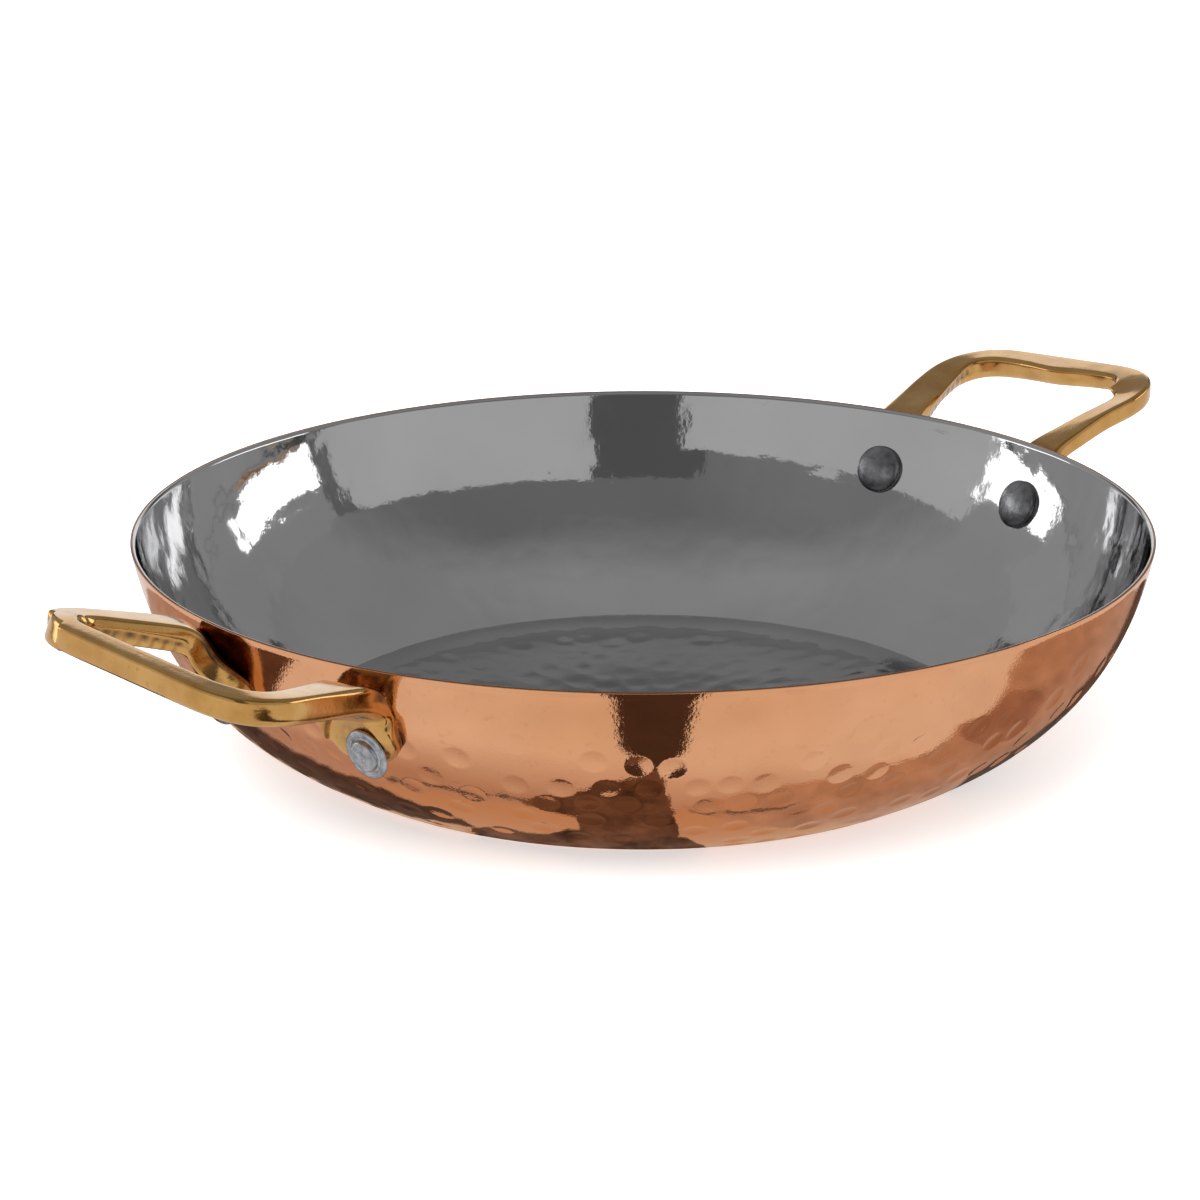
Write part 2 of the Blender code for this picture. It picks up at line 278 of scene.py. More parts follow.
class Skin:
    """Points and faces of a mesh that is stitched ring by ring."""

    def __init__(self):
        self.points = []
        self.faces = []
        self.count = 0

    def add(self, points):
        """More points: returns their numbers."""
        points = np.atleast_2d(points)
        self.points.append(points)
        self.count += len(points)
        return np.arange(self.count - len(points), self.count)

    def ring(self, radius, height, columns):
        """A level ring of points."""
        return self.add(turned_points(radius, ring_angles(columns), np.full(columns, height)))

    def wall_ring(self, along, inset, columns):
        """A ring of points at a length along the dish, moved in from the outer surface."""
        radius, height = MERIDIAN.at(np.array([along]), inset)[0]
        return self.ring(radius, height, columns)

    def join(self, rings):
        """Faces between rings, which face out where the rings run up the outer side."""
        for low, high in zip(rings, rings[1:]):
            quads = np.stack([low, np.roll(low, -1), np.roll(high, -1), high], axis=-1)
            self.faces += quads.tolist()

    def close(self, first, last, low, high):
        """Fans from two middle points to the first ring and the last one."""
        start = int(self.add(low)[0])
        end = int(self.add(high)[0])
        self.faces += [(start, b, a) for a, b in zip(first.tolist(), np.roll(first, -1).tolist())]
        self.faces += [(a, b, end) for a, b in zip(last.tolist(), np.roll(last, -1).tolist())]

    def mesh(self, name, sharp=None):
        """The finished mesh, smooth but for edges sharper than an angle."""
        mesh = bpy.data.meshes.new(name)
        mesh.from_pydata(np.concatenate(self.points).tolist(), [], self.faces)
        mesh.shade_smooth()
        if sharp:
            mesh.set_sharp_from_angle(angle=math.radians(sharp))
        return mesh


def turned(name, section, columns, sharp):
    """A turned mesh: its section runs up the outer side from axis to axis."""
    skin = Skin()
    rings = [skin.ring(radius, height, columns) for radius, height in section[1:-1]]
    skin.join(rings)
    skin.close(rings[0], rings[-1], (0, 0, section[0][1]), (0, 0, section[-1][1]))
    return skin.mesh(name, sharp)


def spaced(start, end, spacing):
    """Even lengths from start to end, no further apart than the spacing."""
    return np.linspace(start, end, max(2, math.ceil(abs(end - start) / spacing) + 1))


def ripple(places, wavelength, height, rng, waves=24):
    """A smooth random swell over points in space."""
    swell = np.zeros(places.shape[:-1])
    for _ in range(waves):
        direction = rng.normal(size=3)
        direction *= math.tau / wavelength / np.linalg.norm(direction)
        swell += np.cos(places @ direction + rng.uniform(0, math.tau))
    return swell * height * math.sqrt(2 / waves)


def dent_places(rng):
    """Centres, radii and depths of the hammer marks, in the plane of angle and spread."""
    dents = []

    def offer(angle, along, radius, depth):
        """Takes a dent that keeps clear of the others and of the seam at angle zero."""
        around = MERIDIAN.radius_at(along)
        spread = float(MERIDIAN.spread_at(along))
        reach = radius / around
        angle %= math.tau
        if min(angle, math.tau - angle) < DENT_KEEP_OUT * reach:
            return
        for other_angle, other_spread, other_reach, _ in dents:
            room = DENT_DISTANCE * (reach + other_reach) / 2
            if math.hypot(angle - other_angle, spread - other_spread) < room:
                return
        dents.append((angle, spread, reach, depth))

    for azimuth, along in FRONT_DENTS:
        angle = CAMERA_AZIMUTH + math.radians(azimuth - 90)
        offer(angle, along / 1000, DENT_RADIUS, DENT_DEPTH)
    for row, along in enumerate(DENT_ROWS):
        around = MERIDIAN.radius_at(along)
        count = round(math.tau * around / DENT_PITCH)
        share = np.clip((along - 0.036) / 0.018, 0, 1)
        for step in range(count):
            jitter = rng.uniform(-1, 1, 4)
            if rng.uniform() < 0.03 + 0.95 * share**1.4:
                continue
            angle = (step + 0.5 * (row % 2) + 0.25 + 0.16 * jitter[0]) * math.tau / count
            radius = DENT_RADIUS * (1 + 0.09 * jitter[1])
            depth = DENT_DEPTH * (1 + 0.22 * jitter[2]) * (1 - 0.5 * share)
            offer(angle, along + 0.0007 * jitter[3], radius, depth)
    return dents


def cap(share):
    """A round dent's depth at shares of its radius: a bowl with a crisp but rounded rim."""
    depth = 1 - share**2
    level = (depth + np.sqrt(depth**2 + DENT_EDGE**2)) / 2
    return level * np.clip((DENT_KEEP_OUT - share) / (DENT_KEEP_OUT - 1.15), 0, 1)


def wall_patch(low, high, rng):
    """The copper's outer wall as triangles: its angles, lengths, depths and faces, and its end rows."""
    dents = dent_places(rng)
    columns = COPPER_COLUMNS
    stride = math.tau / columns
    bottom, top = MERIDIAN.spread_at(np.array([low, high]))
    rows = round((top - bottom) / (stride * math.sqrt(3) / 2))
    grid = []
    for row in range(rows + 1):
        spread = bottom + (top - bottom) * row / rows
        shift = 0.5 if row % 2 and row < rows else 0
        count = columns if shift else columns + 1
        angles = (np.arange(count) + shift) * stride
        grid.append(np.stack([angles, np.full(count, spread)], axis=-1))
    edge_rows = [grid[0], grid[-1]]
    inner = np.concatenate(grid[1:-1])
    seam = (inner[:, 0] < stride / 4) | (inner[:, 0] > math.tau - stride / 4)
    keep = np.ones(len(inner), dtype=bool)
    for angle, spread, reach, _ in dents:
        gap = np.hypot(inner[:, 0] - angle, inner[:, 1] - spread)
        keep &= (gap > DENT_KEEP_OUT * reach) | seam
    points = [edge_rows[0], edge_rows[1], inner[keep]]
    depths = [np.zeros(sum(len(part) for part in points))]
    for angle, spread, reach, depth in dents:
        turn = rng.uniform(0, math.tau)
        rings = [np.array([(angle, spread)])]
        levels = [np.array([0.0])]
        for share, count in DENT_RINGS:
            turns = turn + np.arange(count) * math.tau / count
            ring = np.stack([np.cos(turns), np.sin(turns)], axis=-1) * share * reach
            rings.append(ring + np.array((angle, spread)))
            levels.append(np.full(count, share))
        points.append(np.concatenate(rings))
        depths.append(depth * cap(np.concatenate(levels)))
    points = np.concatenate(points)
    depths = np.concatenate(depths)
    around = list(range(columns + 1)) + list(range(2 * columns + 1, columns, -1))
    border = [(a, b) for a, b in zip(around, around[1:])]
    found = delaunay_2d_cdt([Vector(point) for point in points.tolist()], border, [], 0, 1e-9)
    origin = np.array([source[0] for source in found[3]])
    faces = origin[np.array(found[2])]
    return points, depths, faces


def copper_mesh(rng):
    """The copper sheet: hammered wall, rounded rim, plain inside and floor."""
    columns = COPPER_COLUMNS
    skin = Skin()
    low, high = 0.0004, MERIDIAN.length - 0.00035
    points, depths, faces = wall_patch(low, high, rng)
    along = MERIDIAN.along_at(points[:, 1])
    places = solid(along, points[:, 0])
    fade = np.clip((high - along) / 0.006, 0, 1) * np.clip((along - low) / 0.003, 0, 1)
    depths = depths + fade * (0.00003 + ripple(places, 0.021, 0.000013, rng))
    numbers = skin.add(solid(along, points[:, 0], depths))
    twin = numbers.copy()
    twin[columns] = numbers[0]
    twin[2 * columns + 1] = numbers[columns + 1]
    last = np.flatnonzero(np.abs(points[:, 0] - math.tau) < 1e-7)
    first = np.flatnonzero(np.abs(points[:, 0]) < 1e-7)
    for end in last[last > 2 * columns + 1]:
        match = first[np.argmin(np.abs(points[first, 1] - points[end, 1]))]
        twin[end] = numbers[match]
    skin.faces += twin[faces].tolist()
    wall_bottom = numbers[:columns]
    wall_top = numbers[columns + 1 : 2 * columns + 1]

    floor = [skin.ring(radius, 0, columns) for radius in spaced(0.004, BASE_RADIUS - 0.0020, 0.007)]
    bend = [skin.wall_ring(along, 0, columns) for along in BEND_LENGTHS]
    skin.join(floor + bend + [wall_bottom])

    outer = MERIDIAN.at(np.array([high]))[0]
    inner_radius = MERIDIAN.at(np.array([MERIDIAN.length]), COPPER_THICKNESS)[0, 0]
    edge = []
    for turn in np.radians((22, 45, 68, 90)):
        radius = outer[0] - OUTER_EDGE * (1 - math.cos(turn))
        height = outer[1] + (DISH_HEIGHT - outer[1]) * math.sin(turn)
        edge.append(skin.ring(radius, height, columns))
    for turn in np.radians((90, 45, 0)):
        radius = inner_radius + INNER_EDGE * (1 - math.cos(turn))
        edge.append(skin.ring(radius, DISH_HEIGHT - INNER_EDGE * (1 - math.sin(turn)), columns))
    lengths = spaced(MERIDIAN.length - 0.002, 0, HIDDEN_SPACING)
    inside = [skin.wall_ring(along, COPPER_THICKNESS, columns) for along in lengths]
    radii = spaced(BASE_RADIUS - 0.004, 0.004, 0.014)
    inside += [skin.ring(radius, COPPER_THICKNESS, columns) for radius in radii]
    skin.join([wall_top] + edge + inside)
    skin.close(floor[0], inside[-1], (0, 0, 0), (0, 0, COPPER_THICKNESS))
    return skin.mesh("hammered_copper_shell")


def strike(field, places, centre, radius, depth):
    """Deepens the field by one round blow, without adding to the ones it overlaps."""
    near = np.abs(places[:, 0, 2] - centre[2]) < radius
    reach = np.hypot(places[:, 0, 0], places[:, 0, 1]) - math.hypot(centre[0], centre[1])
    rows = np.flatnonzero(near & (np.abs(reach) < radius))
    gap = np.sum((places[rows] - centre) ** 2, axis=-1) / radius**2
    field[rows] = np.maximum(field[rows], depth * np.clip(1 - gap, 0, None))


def blows(start, end, pitch, rng):
    """Places of planishing blows in jittered rings, as length and angle."""
    rows = max(1, round((end - start) / pitch))
    for row in range(rows):
        along = start + (row + 0.5) * (end - start) / rows
        radius = MERIDIAN.radius_at(along)
        count = max(1, round(math.tau * radius / pitch))
        turn = rng.uniform(0, math.tau)
        for step in range(count):
            jitter = rng.uniform(-0.3, 0.3, 2)
            yield along + jitter[1] * pitch, turn + (step + jitter[0]) * math.tau / count


def steel_mesh(rng):
    """The steel sheet: planished inside, plain where the copper hides it."""
    columns = STEEL_COLUMNS
    skin = Skin()
    outset = COPPER_THICKNESS + SHEET_GAP
    inset = outset + STEEL_THICKNESS
    top = MERIDIAN.length - 0.0005
    lengths = spaced(-BASE_RADIUS + 0.006, top, 2 * HIDDEN_SPACING)
    hidden = [skin.wall_ring(along, outset, columns) for along in lengths]
    lip = DISH_HEIGHT - 0.00012
    outer_radius = MERIDIAN.at(np.array([MERIDIAN.length]), outset)[0, 0]
    inner_radius = MERIDIAN.at(np.array([MERIDIAN.length]), inset)[0, 0]
    edge = []
    for radius, drop in ((outer_radius, INNER_EDGE), (outer_radius - INNER_EDGE, 0)):
        edge.append(skin.ring(radius, lip - drop, columns))
    for turn in np.radians((90, 60, 30, 0)):
        radius = inner_radius + LIP_ROUND * (1 - math.cos(turn))
        edge.append(skin.ring(radius, lip - LIP_ROUND * (1 - math.sin(turn)), columns))
    lengths = np.concatenate([
        spaced(top, 0.0012, STEEL_WALL_SPACING),
        spaced(0.0008, -0.0012, 0.0004),
        spaced(-0.0024, -BASE_RADIUS + 0.0021, STEEL_FLOOR_SPACING),
    ])
    angles = ring_angles(columns)
    grid_along = np.repeat(lengths, columns)
    grid_angle = np.tile(angles, len(lengths))
    places = solid(grid_along, grid_angle, inset).reshape(len(lengths), columns, 3)
    field = np.zeros(places.shape[:-1])
    for start, end, blow_radius, radii, blow_depth, depths in (
        (0.001, MERIDIAN.length - 0.003, 0.0056, (0.85, 1.15), 0.000105, (0.6, 1.15)),
        (-BASE_RADIUS + 0.003, -0.002, 0.0032, (0.8, 1.2), 0.00021, (0.4, 1.2)),
    ):
        for along, angle in blows(start, end, BLOW_PITCH, rng):
            centre = solid(np.array([along]), np.array([angle]), inset)[0]
            radius = blow_radius * rng.uniform(*radii)
            strike(field, places, centre, radius, blow_depth * rng.uniform(*depths))
    field += ripple(places, 0.026, 0.000020, rng)
    field *= np.clip((MERIDIAN.length - lengths) / 0.003, 0, 1)[:, None]
    shaped = solid(grid_along, grid_angle, inset - field.ravel())
    numbers = skin.add(shaped).reshape(len(lengths), columns)
    skin.join(hidden + edge + list(numbers))
    skin.close(hidden[0], numbers[-1], (0, 0, outset), (0, 0, inset))
    return skin.mesh("planished_steel_liner")


def wall_frame(height, azimuth, standoff=0):
    """X along the rim, Y up the wall and Z out of it, at a point that stands off the outer surface."""
    along = MERIDIAN.along_height(height)
    radius = MERIDIAN.radius_at(along)
    slope = MERIDIAN.slope_at(along)
    around = Vector((-math.sin(azimuth), math.cos(azimuth), 0))
    outward = Vector((math.cos(azimuth), math.sin(azimuth), 0))
    upward = math.cos(slope) * outward + math.sin(slope) * Vector((0, 0, 1))
    normal = around.cross(upward)
    place = radius * outward + Vector((0, 0, height)) + standoff * normal
    return Matrix.Translation(place) @ Matrix((around, upward, normal)).transposed().to_4x4()


def rivet_angle(side):
    """Angle about the dish's axis from a handle's middle to each of its rivets."""
    along = MERIDIAN.along_height(DISH_HEIGHT - RIVET_DROPS[side])
    return math.asin(RIVET_SPACING / 2 / MERIDIAN.radius_at(along))


def tail_frame(side, azimuth, hand):
    """A rivet's wall frame turned to the palm, which faces along the handle and not square to the wall."""
    turn = azimuth + hand * rivet_angle(side)
    floor = wall_frame(DISH_HEIGHT - RIVET_DROPS[side], turn, PALM_FLOOR).translation
    facing = azimuth + hand * TAIL_SPREAD
    outward = Vector((math.cos(facing), math.sin(facing), 0))
    normal = math.cos(TAIL_PITCH) * outward - math.sin(TAIL_PITCH) * Vector((0, 0, 1))
    around = Vector((-math.sin(facing), math.cos(facing), 0))
    turned_frame = Matrix((around, normal.cross(around), normal)).transposed().to_4x4()
    inward, down = TAIL_OFFSETS[side][hand]
    offset = Matrix.Translation((-hand * inward, -down, 0))
    return Matrix.Translation(floor - PALM_FLOOR * normal) @ turned_frame @ offset


def loop_corners(side):
    """The corners of a handle's middle line, from one palm's tip round to the other one's."""
    rivet_height = DISH_HEIGHT - RIVET_DROPS[side]
    slope = MERIDIAN.slope_at(MERIDIAN.along_height(rivet_height))
    tip_height = rivet_height - PALM_BELOW_RIVET * math.sin(slope)
    halves = []
    for hand, drop, shift in zip((1, -1), NECK_DROPS[side], NECK_SHIFTS[side]):
        arm_height = DISH_HEIGHT - drop
        neck_radius = MERIDIAN.radius_at(MERIDIAN.along_height(arm_height)) + NECK_STANDOFF
        azimuth = hand * (rivet_angle(side) - shift / RIM_RADIUS)
        neck = (neck_radius * math.cos(azimuth), neck_radius * math.sin(azimuth), arm_height)
        azimuth = hand * (rivet_angle(side) - PALM_SHIFTS[side] / RIM_RADIUS)
        tip = wall_frame(tip_height, azimuth, PALM_TIP_THICKNESS / 2 - PALM_BITE).translation
        top = wall_frame(DISH_HEIGHT - PALM_TOP_DROP, azimuth, PALM_THICKNESS / 2 - PALM_BITE).translation
        aside = LOOP_WIDTH / 2 + (CORNER_SHIFTS[side] if hand < 0 else 0)
        loop = (RIM_RADIUS + LOOP_REACHES[side], hand * aside, DISH_HEIGHT + LOOP_RISES[side])
        halves.append([np.array(tip), np.array(top), np.array(neck), np.array(loop)])
    return halves[0] + halves[1][::-1]


def rounded_path(corners, rounds):
    """A path through the corners with each inner one rounded, and the length at which each comes."""
    path = [corners[0]]
    middles = [0]
    for before, corner, after, radius in zip(corners, corners[1:], corners[2:], rounds):
        back_run, ahead_run = np.linalg.norm(before - corner), np.linalg.norm(after - corner)
        back, ahead = (before - corner) / back_run, (after - corner) / ahead_run
        bend_angle = math.acos(float(back @ ahead))
        reach = min(radius / math.tan(bend_angle / 2), back_run / 2, ahead_run / 2)
        for share in np.linspace(0, 1, PATH_SAMPLES + 1):
            rest = 1 - share
            bend = rest**2 * (corner + reach * back) + share**2 * (corner + reach * ahead)
            path.append(bend + 2 * rest * share * corner)
        middles.append(len(path) - 1 - PATH_SAMPLES // 2)
    path.append(corners[-1])
    middles.append(len(path) - 1)
    path = np.array(path)
    lengths = np.concatenate([[0], np.cumsum(np.linalg.norm(np.diff(path, axis=0), axis=1))])
    return path, lengths, lengths[middles]


def eased(values, width):
    """Values smoothed over a width in samples, with their ends kept."""
    half = int(3 * width)
    kernel = np.exp(-0.5 * (np.arange(-half, half + 1) / width) ** 2)
    kernel /= kernel.sum()
    start = 2 * values[0] - values[half:0:-1]
    end = 2 * values[-1] - values[-2 : -half - 2 : -1]
    return np.convolve(np.concatenate([start, values, end]), kernel, mode="valid")


def bar_section(width, height, cut, slope, rounds):
    """The handle's section: a box whose inner side is filed to two facets as `cut` goes from 0 to 1.

    The top falls towards the inner side by the slope, in half heights.
    """
    corners = np.array([
        (-1, -1),
        (1 - 0.42 * cut, -1),
        (1, 0.38 * cut),
        (1 - 0.22 * cut, 1 - slope * cut),
        (-1, 1),
    ]) * np.array((width / 2, height / 2))
    points = []
    for index, corner in enumerate(corners):
        before = corners[index - 1] - corner
        after = corners[(index + 1) % len(corners)] - corner
        reach = min(rounds[index], 0.4 * np.linalg.norm(before), 0.4 * np.linalg.norm(after))
        start = corner + before / np.linalg.norm(before) * reach
        end = corner + after / np.linalg.norm(after) * reach
        for share in np.linspace(0, 1, 7):
            rest = 1 - share
            points.append(rest**2 * start + 2 * rest * share * corner + share**2 * end)
        following = corners[(index + 1) % len(corners)]
        next_reach = min(rounds[(index + 1) % len(corners)], 0.4 * np.linalg.norm(after))
        nearer = following - after / np.linalg.norm(after) * next_reach
        points.append(end + (nearer - end) / 3)
        points.append(end + (nearer - end) * 2 / 3)
    return np.array(points)


def loop_mesh(name, side, rng):
    """A handle before it is cut and turned to its side: a fine loft from palm tip to palm tip."""
    rounds = [PALM_ROUND, NECK_ROUND, WIDE_CORNER_ROUND]
    rounds += [TIGHT_CORNER_ROUNDS[side], NECK_ROUND, PALM_ROUND]
    path, lengths, marks = rounded_path(loop_corners(side), rounds)
    total = lengths[-1]
    places = np.linspace(0, total, LOOP_RINGS + 1)
    stride = places[1]
    middle = np.stack([np.interp(places, lengths, path[:, axis]) for axis in range(3)], axis=-1)
    middle = np.stack([eased(middle[:, axis], PATH_EASE / stride) for axis in range(3)], axis=-1)
    along = np.gradient(middle, axis=0)
    along /= np.linalg.norm(along, axis=1, keepdims=True)
    across = np.cross(along, (0, 0, 1))
    across /= np.linalg.norm(across, axis=1, keepdims=True)
    upward = np.cross(across, along)
    bar_width = BAR_WIDTHS[side]
    first_neck, last_neck = NECK_WIDTHS[side]
    palm_widths = [PALM_WIDTHS[side]] * 2
    known_widths = palm_widths + [first_neck, bar_width, bar_width, last_neck] + palm_widths
    palm_heights = [PALM_TIP_THICKNESS, PALM_THICKNESS]
    arm_heights = [NECK_HEIGHTS[side][0], *BAR_HEIGHTS[side], NECK_HEIGHTS[side][1]]
    known_heights = palm_heights + arm_heights + palm_heights[::-1]
    widths = eased(np.interp(places, marks, known_widths), SIZE_EASE / stride)
    heights = eased(np.interp(places, marks, known_heights), SIZE_EASE / stride)
    from_tip = np.minimum(np.minimum(places, total - places) / PALM_TIP_ROUND, 1)
    widths *= 0.34 + 0.66 * np.sqrt(1 - (1 - from_tip) ** 2)
    swell = CORNER_SWELL * np.exp(-(((places - marks[4]) / CORNER_SPREAD) ** 2))
    bar_middle = (marks[3] + marks[4]) / 2
    swell += MIDDLE_SWELLS[side] * np.exp(-(((places - bar_middle) / MIDDLE_SPREAD) ** 2))
    bow = ARM_BOWS[side] * np.exp(-(((places - (marks[4] + marks[5]) / 2) / ARM_SPREAD) ** 2))
    from_facet = np.abs(places - marks[4] + CORNER_FACET_LEAD)
    facing_up = CORNER_FACETS[side] * np.clip((CORNER_FACET_HALF - from_facet) / 0.0006, 0, 1)
    arm = marks[3] - marks[2]
    past_neck = np.minimum(places - marks[2], marks[5] - places)
    cut = np.clip(past_neck / (0.5 * arm), 0, 1)
    filed = np.clip(past_neck / 0.004, 0, 1) * np.clip((1.05 * arm - past_neck) / 0.004, 0, 1)
    phase = np.cumsum(1 + 0.35 * eased(rng.normal(size=len(places)), 6)) * stride / FILE_PITCH
    teeth = np.abs((phase % 1) - 0.5) * 2
    wobble = eased(rng.normal(size=len(places)), 8) * 5
    on_palm = np.clip((marks[2] + 0.001 - places) / 0.002, 0, 1)
    on_palm += np.clip((places - marks[5] + 0.001) / 0.002, 0, 1)
    skin = Skin()
    rings = []
    dull = []
    for index in range(len(places)):
        radii = np.array((*EDGE_RADII, TOP_RADIUS + 0.0008 * (1 - cut[index])))
        width = widths[index] + swell[index]
        softened = radii * EDGE_SOFTNESS[side]
        softened[4] = radii[4]
        section = bar_section(width, heights[index], cut[index], TOP_SLOPES[side], softened)
        outer = np.clip(-2 * section[:, 0] / width, 0, 1)
        above = section[:, 1] + heights[index] / 5
        section[:, 0] += swell[index] / 2 + facing_up[index] * above * outer
        depth = np.zeros(len(section))
        facet = np.arange(11, 20)
        fade = np.interp(facet, (11, 13, 17, 19), (0.2, 1, 1, 0.2))
        marks_depth = FILE_DEPTH * filed[index] * teeth[index]
        depth[facet] = fade * (marks_depth + WOBBLE_DEPTH * cut[index] * wobble[index])
        section = section * (1 - 2 * depth[:, None] / max(widths[index], heights[index]))
        worn = np.zeros(len(section))
        rubbed = np.array((0.1, 0.55, 0.9, 1.0, 0.5, 0.1))
        worn[15:21] = rubbed * filed[index] * (0.45 + 0.55 * teeth[index])
        worn[27:44] = np.maximum(worn[27:44], on_palm[index])
        dull.append(worn)
        ring = middle[index] + section[:, :1] * across[index] + section[:, 1:] * upward[index]
        share = (ring[:, 0] - RIM_RADIUS + LEAN_START) / (LOOP_REACHES[side] + LEAN_START)
        share = np.clip(share, 0, 1) ** LEAN_POWER
        ring[:, 2] += bow[index]
        ring[:, 2] -= LOOP_LEANS[side] * share * ring[:, 1] / (LOOP_WIDTH / 2)
        rings.append(skin.add(ring))
    skin.join(rings)
    skin.close(rings[0], rings[-1], middle[0], middle[-1])
    mesh = skin.mesh(name)
    values = np.concatenate(dull + [np.zeros(2)])
    mesh.attributes.new(CAST_SKIN, "FLOAT", "POINT").data.foreach_set("value", values)
    return mesh


def linked(name, data):
    """A new object in the scene."""
    result = bpy.data.objects.new(name, data)
    bpy.context.scene.collection.objects.link(result)
    return result


def turned_object(name, section, columns, place=None):
    """A turned shape, to be cut out of a handle or joined into a rivet."""
    result = linked(name, turned(name, section, columns, 30))
    if place:
        result.matrix_world = place
    return result


def joined(piece, others, operation):
    """Cuts the others out of a piece, or joins them to it."""
    for other in others:
        modifier = piece.modifiers.new(other.name, "BOOLEAN")
        modifier.operation = operation
        modifier.solver = "EXACT"
        modifier.object = other


def shaped_mesh(piece, sharp):
    """The piece's mesh with its modifiers and its place worked in, smooth but for its sharp edges."""
    bpy.context.view_layer.update()
    graph = bpy.context.evaluated_depsgraph_get()
    mesh = bpy.data.meshes.new_from_object(piece.evaluated_get(graph))
    mesh.transform(piece.matrix_world)
    mesh.shade_smooth()
    mesh.set_sharp_from_angle(angle=math.radians(sharp))
    return mesh


def handle_piece(side, azimuth, rng):
    """One cast handle: lofted, seated against the wall, recessed and drilled for its rivets."""
    name = "cast_handle_" + side
    piece = linked(name, loop_mesh(name, side, rng))
    piece.matrix_world = Matrix.Rotation(azimuth, 4, "Z")
    line = MERIDIAN.at(spaced(0.001, MERIDIAN.length, 0.0025), -SHEET_GAP)
    line[-1, 1] = DISH_HEIGHT + 0.0116
    line = np.insert(line, len(line) - 1, (line[-1, 0], DISH_HEIGHT), axis=0)
    section = [(0, line[0, 1])] + [tuple(point) for point in line] + [(0, line[-1, 1])]
    cutters = [turned_object("seat", section, 288)]
    for hand in HANDS.values():
        place = wall_frame(DISH_HEIGHT - RIVET_DROPS[side], azimuth + hand * rivet_angle(side))
        recess = [(RECESS_RADIUS + out, PALM_FLOOR + up) for out, up in RECESS_LIP]
        recess = [(0, PALM_FLOOR)] + recess + [(0, PALM_FLOOR + RECESS_DEPTH)]
        shift = Matrix.Translation((-hand * RECESS_INSET, RECESS_RISE, 0))
        tilted = tail_frame(side, azimuth, hand) @ shift
        cutters.append(turned_object("recess", recess, 72, tilted))
        bore = SHANK_RADIUS + SHEET_GAP
        hole = ((0, -HOLE_REACH), (bore, -HOLE_REACH), (bore, HOLE_REACH), (0, HOLE_REACH))
        cutters.append(turned_object("hole", hole, 48, place))
    joined(piece, cutters, "DIFFERENCE")
    shaped = shaped_mesh(piece, 38)
    for item in [piece] + cutters:
        bpy.data.objects.remove(item)
    return name, shaped


def head_section():
    """A rivet's domed head and its shank, from below."""
    seat = -(COPPER_THICKNESS + SHEET_GAP + STEEL_THICKNESS + HEAD_RADIUS**2 / RIM_RADIUS / 2)
    section = [(0, seat - HEAD_EDGE - HEAD_CROWN)]
    for turn in np.linspace(math.pi / 2, 0, 15)[1:]:
        section.append((HEAD_RADIUS * math.cos(turn), seat - HEAD_EDGE - HEAD_CROWN * math.sin(turn)))
    section += [(HEAD_RADIUS - 0.0001, seat), (SHANK_RADIUS, seat + 0.00002)]
    return section + [(SHANK_RADIUS, PALM_FLOOR + 0.0003), (0, PALM_FLOOR + 0.0003)]


def tail_section():
    """A rivet's peened tail: a flange and a button, both with the rings of the tool."""
    low = PALM_FLOOR + SHEET_GAP
    high = low + TAIL_FLANGE
    section = [(0, low), (TAIL_RADIUS - 0.0002, low), (TAIL_RADIUS, low + 0.0002)]
    section += [(TAIL_RADIUS, high - 0.0004), (TAIL_RADIUS - 0.00012, high - 0.00015)]
    section += [(TAIL_RADIUS - 0.0004, high)]
    for radius in np.linspace(TAIL_RADIUS - 0.0006, BUTTON_RADIUS + 0.0003, 10):
        section.append((radius, high + 0.00005 * math.sin(radius * math.tau / 0.00045)))
    section += [(BUTTON_RADIUS + 0.00008, high + 0.0001), (BUTTON_RADIUS, high + 0.0004)]
    section += [(BUTTON_RADIUS - 0.00008, high + BUTTON_HEIGHT - 0.0003)]
    section += [(BUTTON_RADIUS - 0.0003, high + BUTTON_HEIGHT - 0.00008)]
    for radius in np.linspace(BUTTON_RADIUS - 0.0005, 0.0003, 24):
        wave = 0.00005 * math.sin(radius * math.tau / 0.00055)
        bowl = 0.00035 * max(0, 1 - radius / 0.0011) - 0.0001 * (1 - radius / BUTTON_RADIUS)
        section.append((radius, high + BUTTON_HEIGHT + wave - bowl - 0.00005))
    return section + [(0, high + BUTTON_HEIGHT - 0.0003)]


def rivet_mesh(name, tilt):
    """A rivet in its wall frame, its tail tilted to the palm: one closed body."""
    body = turned_object("head", head_section(), 64)
    tail = turned_object("tail", tail_section(), 64, tilt)
    joined(body, [tail], "UNION")
    mesh = shaped_mesh(body, 45)
    for item in (body, tail):
        bpy.data.objects.remove(item)
    mesh.name = name
    return mesh


